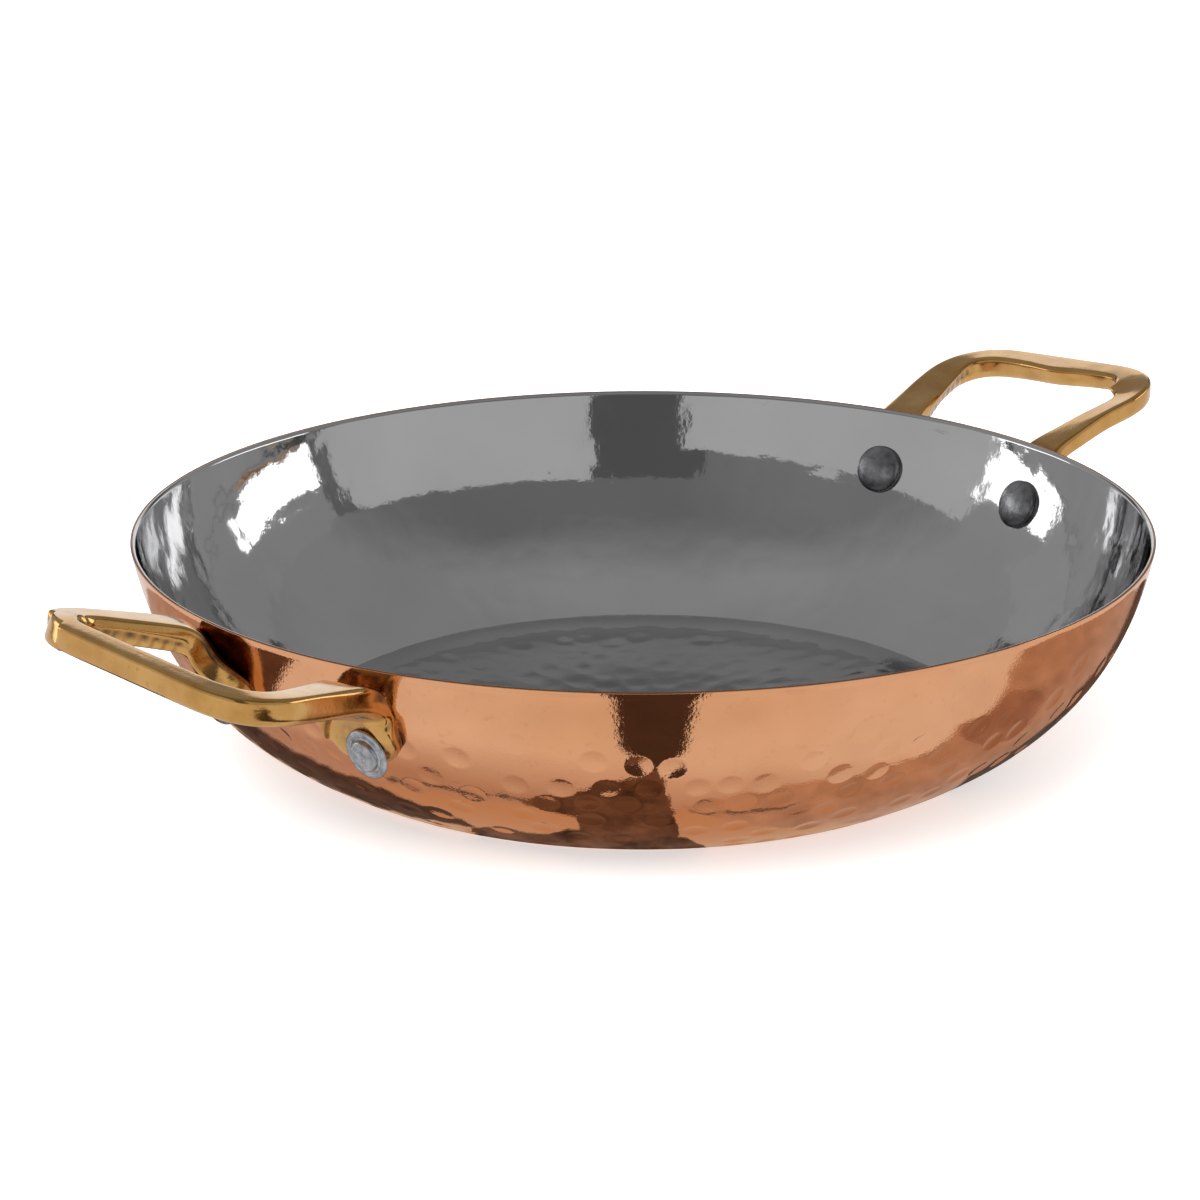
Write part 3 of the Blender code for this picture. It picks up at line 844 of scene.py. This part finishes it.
class Graph:
    """A material's node tree, with short calls for the nodes used here."""

    def __init__(self, name):
        self.material = bpy.data.materials.new(name)
        self.material.use_nodes = True
        self.tree = self.material.node_tree
        self.shader = self.tree.nodes["Principled BSDF"]

    def put(self, socket, value):
        """Links a socket into another, or sets a plain value."""
        if isinstance(value, bpy.types.NodeSocket):
            self.tree.links.new(value, socket)
        else:
            socket.default_value = value

    def node(self, kind, settings=None, **inputs):
        """A node with its settings and inputs."""
        node = self.tree.nodes.new("ShaderNode" + kind)
        for key, value in (settings or {}).items():
            setattr(node, key, value)
        for key, value in inputs.items():
            self.put(node.inputs[key.replace("_", " ")], value)
        return node

    def place(self, scale=(1, 1, 1)):
        """Object coordinates, stretched."""
        coordinates = self.node("TexCoord").outputs["Object"]
        return self.node("Mapping", Vector=coordinates, Scale=scale).outputs["Vector"]

    def height(self):
        """Height in the object's own frame."""
        return self.node("SeparateXYZ", Vector=self.place()).outputs["Z"]

    def noise(self, scale, detail=2, vector=None, roughness=0.5):
        """Smooth noise about 0.5, scale in cells a metre."""
        vector = vector or self.place()
        noise = self.node("TexNoise", Vector=vector, Scale=scale, Detail=detail, Roughness=roughness)
        return noise.outputs["Fac"]

    def math(self, operation, first, second=0.0):
        """A sum or other plain operation."""
        node = self.tree.nodes.new("ShaderNodeMath")
        node.operation = operation
        self.put(node.inputs[0], first)
        self.put(node.inputs[1], second)
        return node.outputs[0]

    def vector(self, operation, first, second=None):
        """The outputs of a plain operation on vectors."""
        node = self.node("VectorMath", {"operation": operation})
        self.put(node.inputs[0], first)
        if second is not None:
            self.put(node.inputs[1], second)
        return node.outputs

    def unit(self, value):
        """A vector's direction."""
        return self.vector("NORMALIZE", value)["Vector"]

    def span(self, value, low, high, to_low=0.0, to_high=1.0):
        """The value mapped from one span to another, and held there."""
        node = self.tree.nodes.new("ShaderNodeMapRange")
        for index, item in enumerate((value, low, high, to_low, to_high)):
            self.put(node.inputs[index], item)
        return node.outputs[0]

    def blend(self, share, first, second):
        """A mix of two colours."""
        node = self.tree.nodes.new("ShaderNodeMix")
        node.data_type = "RGBA"
        sockets = [item for item in node.inputs if item.type == "RGBA"]
        self.put(node.inputs["Factor"], share)
        self.put(sockets[0], first)
        self.put(sockets[1], second)
        return [item for item in node.outputs if item.type == "RGBA"][0]

    def bump(self, height, distance, normal=None):
        """A fine relief, distance in metres."""
        node = self.node("Bump", Height=height, Distance=distance)
        if normal:
            self.put(node.inputs["Normal"], normal)
        return node.outputs["Normal"]

    def around(self, fine, along):
        """Coordinates for marks that run up the wall: fine round the axis, slow along it."""
        place = self.node("TexCoord").outputs["Object"]
        unit = self.unit(self.vector("MULTIPLY", place, (1, 1, 0))["Vector"])
        wide = self.node("VectorMath", {"operation": "SCALE"}, Vector=unit, Scale=fine).outputs
        height = self.node("SeparateXYZ", Vector=place).outputs["Z"]
        rise = self.node("CombineXYZ", Z=self.math("MULTIPLY", height, along)).outputs["Vector"]
        return self.vector("ADD", wide["Vector"], rise)["Vector"]

    def surface(self, shader):
        """Makes this the whole surface, in place of the shader that comes with a material."""
        self.tree.nodes.remove(self.shader)
        self.tree.links.new(shader, self.tree.nodes["Material Output"].inputs["Surface"])
        return self.material

    def finish(self, colour, roughness, normal):
        """Sets the metal's main inputs."""
        self.put(self.shader.inputs["Base Color"], colour)
        self.put(self.shader.inputs["Roughness"], roughness)
        self.put(self.shader.inputs["Normal"], normal)
        self.shader.inputs["Metallic"].default_value = 1
        return self.material


def copper_material():
    """Polished copper with faint warm stains, slanting wipe marks and a slightly pitted skin."""
    graph = Graph("hammered_copper")
    stain = graph.noise(34, 4)
    speck = graph.noise(520, 3)
    colour = graph.blend(graph.span(stain, 0.35, 0.7), (0.85, 0.435, 0.235, 1), (0.79, 0.375, 0.185, 1))
    colour = graph.blend(graph.span(speck, 0.60, 0.85, 0, 0.4), colour, (0.60, 0.25, 0.12, 1))
    wipes = graph.noise(1, 3, graph.place((90, 90, 2600)))
    edge = graph.span(graph.height(), DISH_HEIGHT - 0.00028, DISH_HEIGHT - 0.00012)
    colour = graph.blend(edge, colour, (0.36, 0.17, 0.10, 1))
    roughness = graph.span(wipes, 0.3, 0.75, 0.035, 0.09)
    roughness = graph.math("ADD", roughness, graph.math("MULTIPLY", edge, 0.25))
    pits = graph.bump(graph.noise(1700, 2), 0.000023)
    grain = graph.bump(graph.noise(620, 3), 0.000010, pits)
    normal = graph.bump(wipes, 0.0000015, grain)
    return graph.finish(colour, roughness, normal)


def steel_material():
    """Planished stainless steel, brushed up the wall and crossed by fine turning lines."""
    graph = Graph("planished_steel")
    cloud = graph.noise(30, 4)
    colour = graph.blend(graph.span(cloud, 0.3, 0.7), (0.635, 0.635, 0.64, 1), (0.575, 0.575, 0.58, 1))
    brush = graph.noise(1, 3, graph.around(150, 60), 0.6)
    fine = graph.noise(1, 2, graph.around(520, 30), 0.5)
    lines = graph.noise(1, 2, graph.place((60, 60, 3200)))
    floor = graph.span(graph.height(), 0.0012, 0.0030)
    roughness = graph.span(graph.math("ADD", brush, cloud), 0.6, 1.4, 0.045, 0.085)
    roughness = graph.math("ADD", roughness, graph.span(floor, 0, 1, 0.05, 0.0))
    facets = graph.bump(graph.noise(330, 3), 0.000040)
    normal = graph.bump(brush, 0.0000032, facets)
    normal = graph.bump(fine, 0.0000010, normal)
    normal = graph.bump(lines, 0.0000009, normal)
    return graph.finish(colour, roughness, normal)


def brass_material():
    """Cast brass, polished on the outside with a little of the casting's grain left."""
    graph = Graph("cast_brass")
    tarnish = graph.noise(140, 4)
    colour = graph.blend(graph.span(tarnish, 0.35, 0.75), (0.70, 0.40, 0.125, 1), (0.54, 0.27, 0.06, 1))
    pits = graph.noise(900, 4)
    colour = graph.blend(graph.span(pits, 0.62, 0.8, 0, 0.55), colour, (0.34, 0.15, 0.04, 1))
    skin = graph.node("Attribute", {"attribute_name": CAST_SKIN}).outputs["Fac"]
    skin = graph.math("MULTIPLY", skin, graph.span(graph.noise(420, 3), 0.30, 0.62, 0.35, 1.0))
    colour = graph.blend(skin, colour, (0.11, 0.045, 0.016, 1))
    roughness = graph.span(graph.noise(300, 3), 0.3, 0.75, 0.09, 0.20)
    roughness = graph.math("ADD", roughness, graph.math("MULTIPLY", skin, 0.25))
    graph.shader.inputs["Coat Weight"].default_value = 0.5
    graph.shader.inputs["Coat Roughness"].default_value = 0.12
    normal = graph.bump(graph.noise(1400, 3), 0.000016)
    normal = graph.bump(graph.noise(260, 2), 0.00004, normal)
    return graph.finish(colour, roughness, normal)


def aluminium_material():
    """Aluminium: bright and scratched on the peened tail, dark and mottled on the head in the dish."""
    graph = Graph("peened_aluminium")
    tail = graph.span(graph.height(), -0.0002, 0.0012)
    mottle = graph.noise(520, 4)
    bright = graph.blend(graph.span(mottle, 0.35, 0.7), (0.52, 0.54, 0.58, 1), (0.25, 0.265, 0.29, 1))
    dark = graph.blend(graph.span(mottle, 0.35, 0.7), (0.34, 0.34, 0.35, 1), (0.20, 0.20, 0.21, 1))
    colour = graph.blend(tail, dark, bright)
    rough = graph.span(graph.noise(900, 3), 0.3, 0.7, 0.0, 0.14)
    roughness = graph.math("ADD", rough, graph.span(tail, 0, 1, 0.22, 0.20))
    normal = graph.bump(graph.noise(1100, 3), 0.000030)
    return graph.finish(colour, roughness, normal)


def add(name, mesh, material):
    """A new object of this mesh and material."""
    result = linked(name, mesh)
    mesh.materials.clear()
    mesh.materials.append(material)
    return result


def stand_for(piece, node):
    """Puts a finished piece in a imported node's place."""
    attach(piece, "root")
    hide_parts(node)


def emission(name, strength, colour=(1, 1, 1), mottle=0):
    """A glowing material for a studio card, plain or mottled."""
    graph = Graph(name)
    if mottle:
        patches = graph.noise(85, 4, roughness=0.65)
        strength = graph.span(patches, 0.32, 0.68, strength * (1 - mottle), strength * (1 + mottle))
    return graph.surface(graph.node("Emission", Color=(*colour, 1), Strength=strength).outputs[0])


def stage_direction(azimuth, elevation):
    """A direction in the studio: azimuth in degrees from the camera's, positive to its right."""
    turn = CAMERA_AZIMUTH + math.radians(azimuth)
    rise = math.radians(elevation)
    return Vector((math.sin(turn), -math.cos(turn), 0)) * math.cos(rise) + Vector((0, 0, math.sin(rise)))


def only_reflected(piece):
    """Makes a studio card show in reflections alone."""
    for ray in ("camera", "diffuse", "transmission", "volume_scatter", "shadow"):
        setattr(piece, "visible_" + ray, False)


def card_mesh(name, azimuths, lows, highs, distance, steps=16):
    """A curved sheet round the dish, between two azimuths and two slanting edges."""
    points = []
    for step in range(steps + 1):
        share = step / steps
        azimuth = azimuths[0] + (azimuths[1] - azimuths[0]) * share
        low = lows[0] + (lows[1] - lows[0]) * share
        high = highs[0] + (highs[1] - highs[0]) * share
        for rise in range(steps + 1):
            elevation = low + (high - low) * rise / steps
            points.append(stage_direction(azimuth, elevation) * distance)
    faces = []
    for step in range(steps):
        for rise in range(steps):
            first = step * (steps + 1) + rise
            faces.append((first, first + 1, first + steps + 2, first + steps + 1))
    mesh = bpy.data.meshes.new(name)
    mesh.from_pydata(points, [], faces)
    return mesh


def card(name, azimuths, lows, highs, strength, distance):
    """A plain curved card."""
    mesh = card_mesh(name, azimuths, lows, highs, distance)
    only_reflected(add(name, mesh, emission(name, strength)))


def dome():
    """The dim ceiling over the dish, darker on the camera's side."""
    graph = Graph("ceiling")
    place = graph.unit(graph.node("TexCoord").outputs["Object"])
    high = graph.span(graph.node("SeparateXYZ", Vector=place).outputs["Z"], 0.87, 0.96, 0.0, 0.05)
    facing, leftward = [
        graph.vector("DOT_PRODUCT", place, tuple(stage_direction(azimuth, 0)))["Value"]
        for azimuth in (0, -90)
    ]
    level = graph.span(facing, -0.13, 0.26, 0.285, 0.182)
    level = graph.math("ADD", level, graph.span(leftward, 0.1, 0.6, 0.0, 0.05))
    glow = graph.node("Emission", Strength=graph.math("ADD", level, high)).outputs[0]
    mesh = card_mesh("ceiling", (-180, 180), (28, 28), (90, 90), 3.0, 48)
    only_reflected(add("ceiling", mesh, graph.surface(glow)))


def frayed(outline, step=0.02, sway=0.006):
    """The outline in short steps, each a little off the line."""
    rng = np.random.default_rng(SEED)
    points = []
    for start, end in zip(outline, list(outline[1:]) + [outline[0]]):
        count = max(1, round(math.dist(start, end) / step))
        for index in range(count):
            along = np.array(start) + (np.array(end) - np.array(start)) * index / count
            points.append(along + rng.uniform(-sway, sway, 2))
    return points


def flag(name, outline, strength, colour=(1, 1, 1), lift=0.0002, turn=0, mottle=0.0):
    """A flat card on the floor, its outline in rim radii: to the camera's right and towards it."""
    right = stage_direction(90 + turn, 0)
    near = stage_direction(turn, 0)
    if mottle:
        outline = frayed(outline)
    points = [RIM_RADIUS * (x * right + y * near) + Vector((0, 0, lift)) for x, y in outline]
    build = bmesh.new()
    face = build.faces.new([build.verts.new(point) for point in points])
    bmesh.ops.triangulate(build, faces=[face])
    mesh = bpy.data.meshes.new(name)
    build.to_mesh(mesh)
    build.free()
    only_reflected(add(name, mesh, emission(name, strength, colour, mottle)))


def streak(name, line, width, strength, turn):
    """A flat card of painted shadow on the floor along a line, faintly copper-tinted and frayed."""
    line = np.array(line)
    run = np.gradient(line, axis=0)
    side = np.stack([-run[:, 1], run[:, 0]], axis=-1) / np.linalg.norm(run, axis=1, keepdims=True)
    outline = np.concatenate([line + side * width / 2, (line - side * width / 2)[::-1]])
    flag(name, outline.tolist(), strength, (0.9, 0.75, 0.65), 0.0003, turn, mottle=0.3)


def floor_ring(name, inner, outer, strength, colour):
    """A ring on the floor under the wall."""
    skin = Skin()
    skin.join([skin.ring(share * RIM_RADIUS, 0.0001, 96) for share in (inner, outer)])
    only_reflected(add(name, skin.mesh(name), emission(name, strength, colour)))


def floor_material():
    """Plain pale floor: a matt white that glows a little. In reflections alone it glows instead, faintly
    mottled, with a painted shade of the dish tinted by the copper's bounce, centred a little to the
    camera's left.
    """
    graph = Graph("pale_floor")
    matt = graph.node("BsdfDiffuse", Color=(0.8, 0.8, 0.8, 1)).outputs[0]
    glow = graph.node("Emission", Strength=0.55).outputs[0]
    plain = graph.node("AddShader")
    graph.put(plain.inputs[0], matt)
    graph.put(plain.inputs[1], glow)
    parts = graph.node("SeparateXYZ", Vector=graph.place()).outputs
    # Painted shade of the dish, for reflected rays: copper-tinted within 0.88 rim radii of a centre a
    # little to the camera's left, fading to white by 1.08.
    shade = stage_direction(-90, 0) * 0.11 * RIM_RADIUS
    across = graph.math("SUBTRACT", parts["X"], shade.x)
    ahead = graph.math("SUBTRACT", parts["Y"], shade.y)
    squares = [graph.math("MULTIPLY", part, part) for part in (across, ahead)]
    reach = graph.math("SQRT", graph.math("ADD", *squares))
    clear = graph.span(reach, 0.88 * RIM_RADIUS, 1.08 * RIM_RADIUS)
    colour = graph.blend(clear, (0.62, 0.47, 0.40, 1), (0.98, 0.965, 0.95, 1))
    cloud = graph.span(graph.noise(38, 2), 0.3, 0.7, 0.77, 0.85)
    painted_shade_glow = graph.node("Emission", Color=colour, Strength=cloud).outputs[0]
    mix = graph.node("MixShader")
    graph.put(mix.inputs[0], graph.node("LightPath").outputs["Is Glossy Ray"])
    graph.put(mix.inputs[1], plain.outputs[0])
    graph.put(mix.inputs[2], painted_shade_glow)
    return graph.surface(mix.outputs[0])


def floor_flags():
    """What darkens the floor in the copper's reflection: a dark wedge for the photographer's side, and
    painted shadow and shade of the dish, some of it tinted by the copper's bounce.
    """
    wedge = (
        (-0.104, 1.464), (-0.096, 1.362), (-0.08, 1.245), (-0.06, 1.147), (-0.025, 1.098), (-0.005, 1.03),
        (0.055, 1.04), (0.106, 1.098), (0.135, 1.205), (0.164, 1.303), (0.204, 1.45), (0.45, 2.3),
        (-0.28, 2.3),
    )
    shadow_pool = (
        (-0.33, 0.60), (-0.30, 0.67), (-0.20, 0.70), (-0.125, 0.76), (-0.12, 0.81), (-0.26, 0.835),
        (-0.17, 0.868), (-0.09, 0.90), (-0.03, 0.922), (-0.012, 1.04), (0.045, 1.04), (0.055, 0.912),
        (0.066, 0.814), (0.072, 0.736), (0.115, 0.677), (0.12, 0.60),
    )
    shadow_arc = (
        (-0.883, 0.335), (-0.843, 0.393), (-0.765, 0.462), (-0.706, 0.52), (-0.648, 0.56),
        (-0.589, 0.618), (-0.511, 0.642), (-0.432, 0.661), (-0.344, 0.667), (-0.315, 0.648),
        (-0.393, 0.589), (-0.472, 0.52), (-0.55, 0.452), (-0.628, 0.384), (-0.706, 0.295),
        (-0.785, 0.207), (-0.843, 0.129), (-0.883, 0.09),
    )
    side_shade_outline = (
        (0.09, 0.862), (0.2, 0.885), (0.31, 0.88), (0.43, 0.845), (0.50, 0.79), (0.585, 0.765),
        (0.675, 0.715), (0.75, 0.70), (0.815, 0.70), (0.87, 0.65), (0.937, 0.615), (1.035, 0.61),
        (1.157, 0.635), (1.25, 0.60), (1.33, 0.603), (1.6, 0.4), (1.6, -0.5), (1.345, -0.53),
        (1.157, -0.24), (0.986, 0.05), (0.86, 0.2), (0.80, 0.32), (0.70, 0.50), (0.56, 0.655),
        (0.42, 0.753), (0.31, 0.804), (0.2, 0.838),
    )
    end_shade = (
        (0.78, 0.68), (0.815, 0.69), (0.87, 0.64), (0.937, 0.605), (1.035, 0.60), (1.05, 0.42), (1.0, 0.37),
        (0.9, 0.37), (0.81, 0.42), (0.77, 0.50), (0.76, 0.60),
    )
    end_shadow = (
        (0.93, 0.12), (0.985, 0.13), (1.12, -0.15), (1.29, -0.42), (1.42, -0.62), (1.25, -0.80),
        (1.0, -0.55), (0.86, -0.3), (0.88, 0.0),
    )
    shadow_streak = ((0.61, 0.40), (0.715, 0.28), (0.83, 0.15), (0.95, -0.01), (1.11, -0.30), (1.30, -0.60))
    left_shadow_line = ((-0.563, 0.682), (-0.461, 0.772), (-0.295, 0.841), (-0.18, 0.865))
    right_shadow_line = ((0.098, 0.847), (0.158, 0.827), (0.322, 0.772))
    # Painted shade under the wall, tinted by the copper's bounce.
    floor_ring("shade_ring", 0.60, 0.862, 1, (0.57, 0.39, 0.26))
    for turn in (0, 180):
        # Painted shadow and shade of the dish on the floor, but for the wedge, which stands for the
        # photographer's side.
        for name, outline, colour, lift, mottle in (
            ("wedge", wedge, (0.070, 0.047, 0.038), 0.0003, 0.15),
            ("shadow_pool", shadow_pool, (0.135, 0.082, 0.058), 0.0003, 0.65),
            ("shadow_arc", shadow_arc, (0.090, 0.062, 0.050), 0.0003, 0.45),
            ("side_shade", side_shade_outline, (0.47, 0.335, 0.26), 0.0002, 0.2),
            ("end_shade", end_shade, (0.35, 0.22, 0.17), 0.00025, 0.2),
            ("end_shadow", end_shadow, (0.11, 0.065, 0.045), 0.00035, 0.2),
        ):
            flag(name, outline, 1, colour, lift, turn, mottle)
        flag("brown_band", ((-1.37, 0.36), (-1.04, 0.36), (-1.04, 0.5), (-1.37, 0.5)), 0.35, turn=turn)
        # Painted shadow lines: one along the dish's foot on the right, two at the edge of the rim's shadow.
        streak("shadow_streak", shadow_streak, 0.14, 0.10, turn)
        streak("left_shadow_line", left_shadow_line, 0.011, 0.13, turn)
        streak("right_shadow_line", right_shadow_line, 0.010, 0.16, turn)


def studio():
    """Pale floor, white surroundings, grey cards for the metal to reflect and one soft lamp."""
    mesh = bpy.data.meshes.new("floor")
    build = bmesh.new()
    bmesh.ops.create_grid(build, x_segments=1, y_segments=1, size=6)
    build.to_mesh(mesh)
    build.free()
    add("floor", mesh, floor_material())

    world = bpy.data.worlds.new("studio")
    world.use_nodes = True
    world.node_tree.nodes["Background"].inputs["Color"].default_value = (1, 1, 1, 1)
    world.node_tree.nodes["Background"].inputs["Strength"].default_value = 1
    bpy.context.scene.world = world

    dome()
    for entry in CARDS:
        card(*entry)
    floor_flags()

    lamp = bpy.data.lights.new("soft_lamp", "AREA")
    lamp.shape = "SQUARE"
    lamp.size = 1.6
    lamp.energy = 22
    holder = linked("soft_lamp", lamp)
    holder.location = stage_direction(-35, 62) * 1.6
    holder.rotation_euler = (-holder.location).to_track_quat("-Z", "Y").to_euler()
    holder.visible_glossy = False


def camera():
    """The camera at the photo's place."""
    place = CAMERA_DISTANCE * stage_direction(0, math.degrees(CAMERA_ELEVATION))
    data = bpy.data.cameras.new("camera")
    data.sensor_fit = "HORIZONTAL"
    data.sensor_width = CAMERA_SENSOR
    data.lens = CAMERA_LENS
    result = linked("camera", data)
    back = place.normalized()
    right = Vector((0, 0, 1)).cross(back).normalized()
    axes = Matrix((right, back.cross(right), back)).transposed().to_4x4()
    turn = Matrix.Rotation(CAMERA_PAN, 4, "Y") @ Matrix.Rotation(CAMERA_TILT, 4, "X")
    result.matrix_world = Matrix.Translation(place) @ axes @ turn
    bpy.context.scene.camera = result


def dish(rng):
    """The two sheets of the dish."""
    copper = add("hammered_copper_shell", copper_mesh(rng), copper_material())
    stand_for(copper, "copper_shell")
    steel = add("planished_steel_liner", steel_mesh(rng), steel_material())
    stand_for(steel, "steel_liner")


def fittings(rng):
    """The two handles and their four rivets."""
    brass = brass_material()
    aluminium = aluminium_material()
    for side, azimuth in SIDES.items():
        name, mesh = handle_piece(side, azimuth, rng)
        stand_for(add(name, mesh, brass), "handle_" + side)
        for hand_name, hand in HANDS.items():
            name = "turned_rivet_" + side + "_" + hand_name
            place = wall_frame(DISH_HEIGHT - RIVET_DROPS[side], azimuth + hand * rivet_angle(side))
            tilt = place.inverted() @ tail_frame(side, azimuth, hand)
            rivet = add(name, rivet_mesh(name, tilt), aluminium)
            rivet.matrix_world = place
            stand_for(rivet, "rivet_" + side + "_" + hand_name)


def main():
    bpy.context.scene.view_settings.view_transform = "Standard"
    rng = np.random.default_rng(SEED)
    camera()
    studio()
    dish(rng)
    fittings(rng)


main()
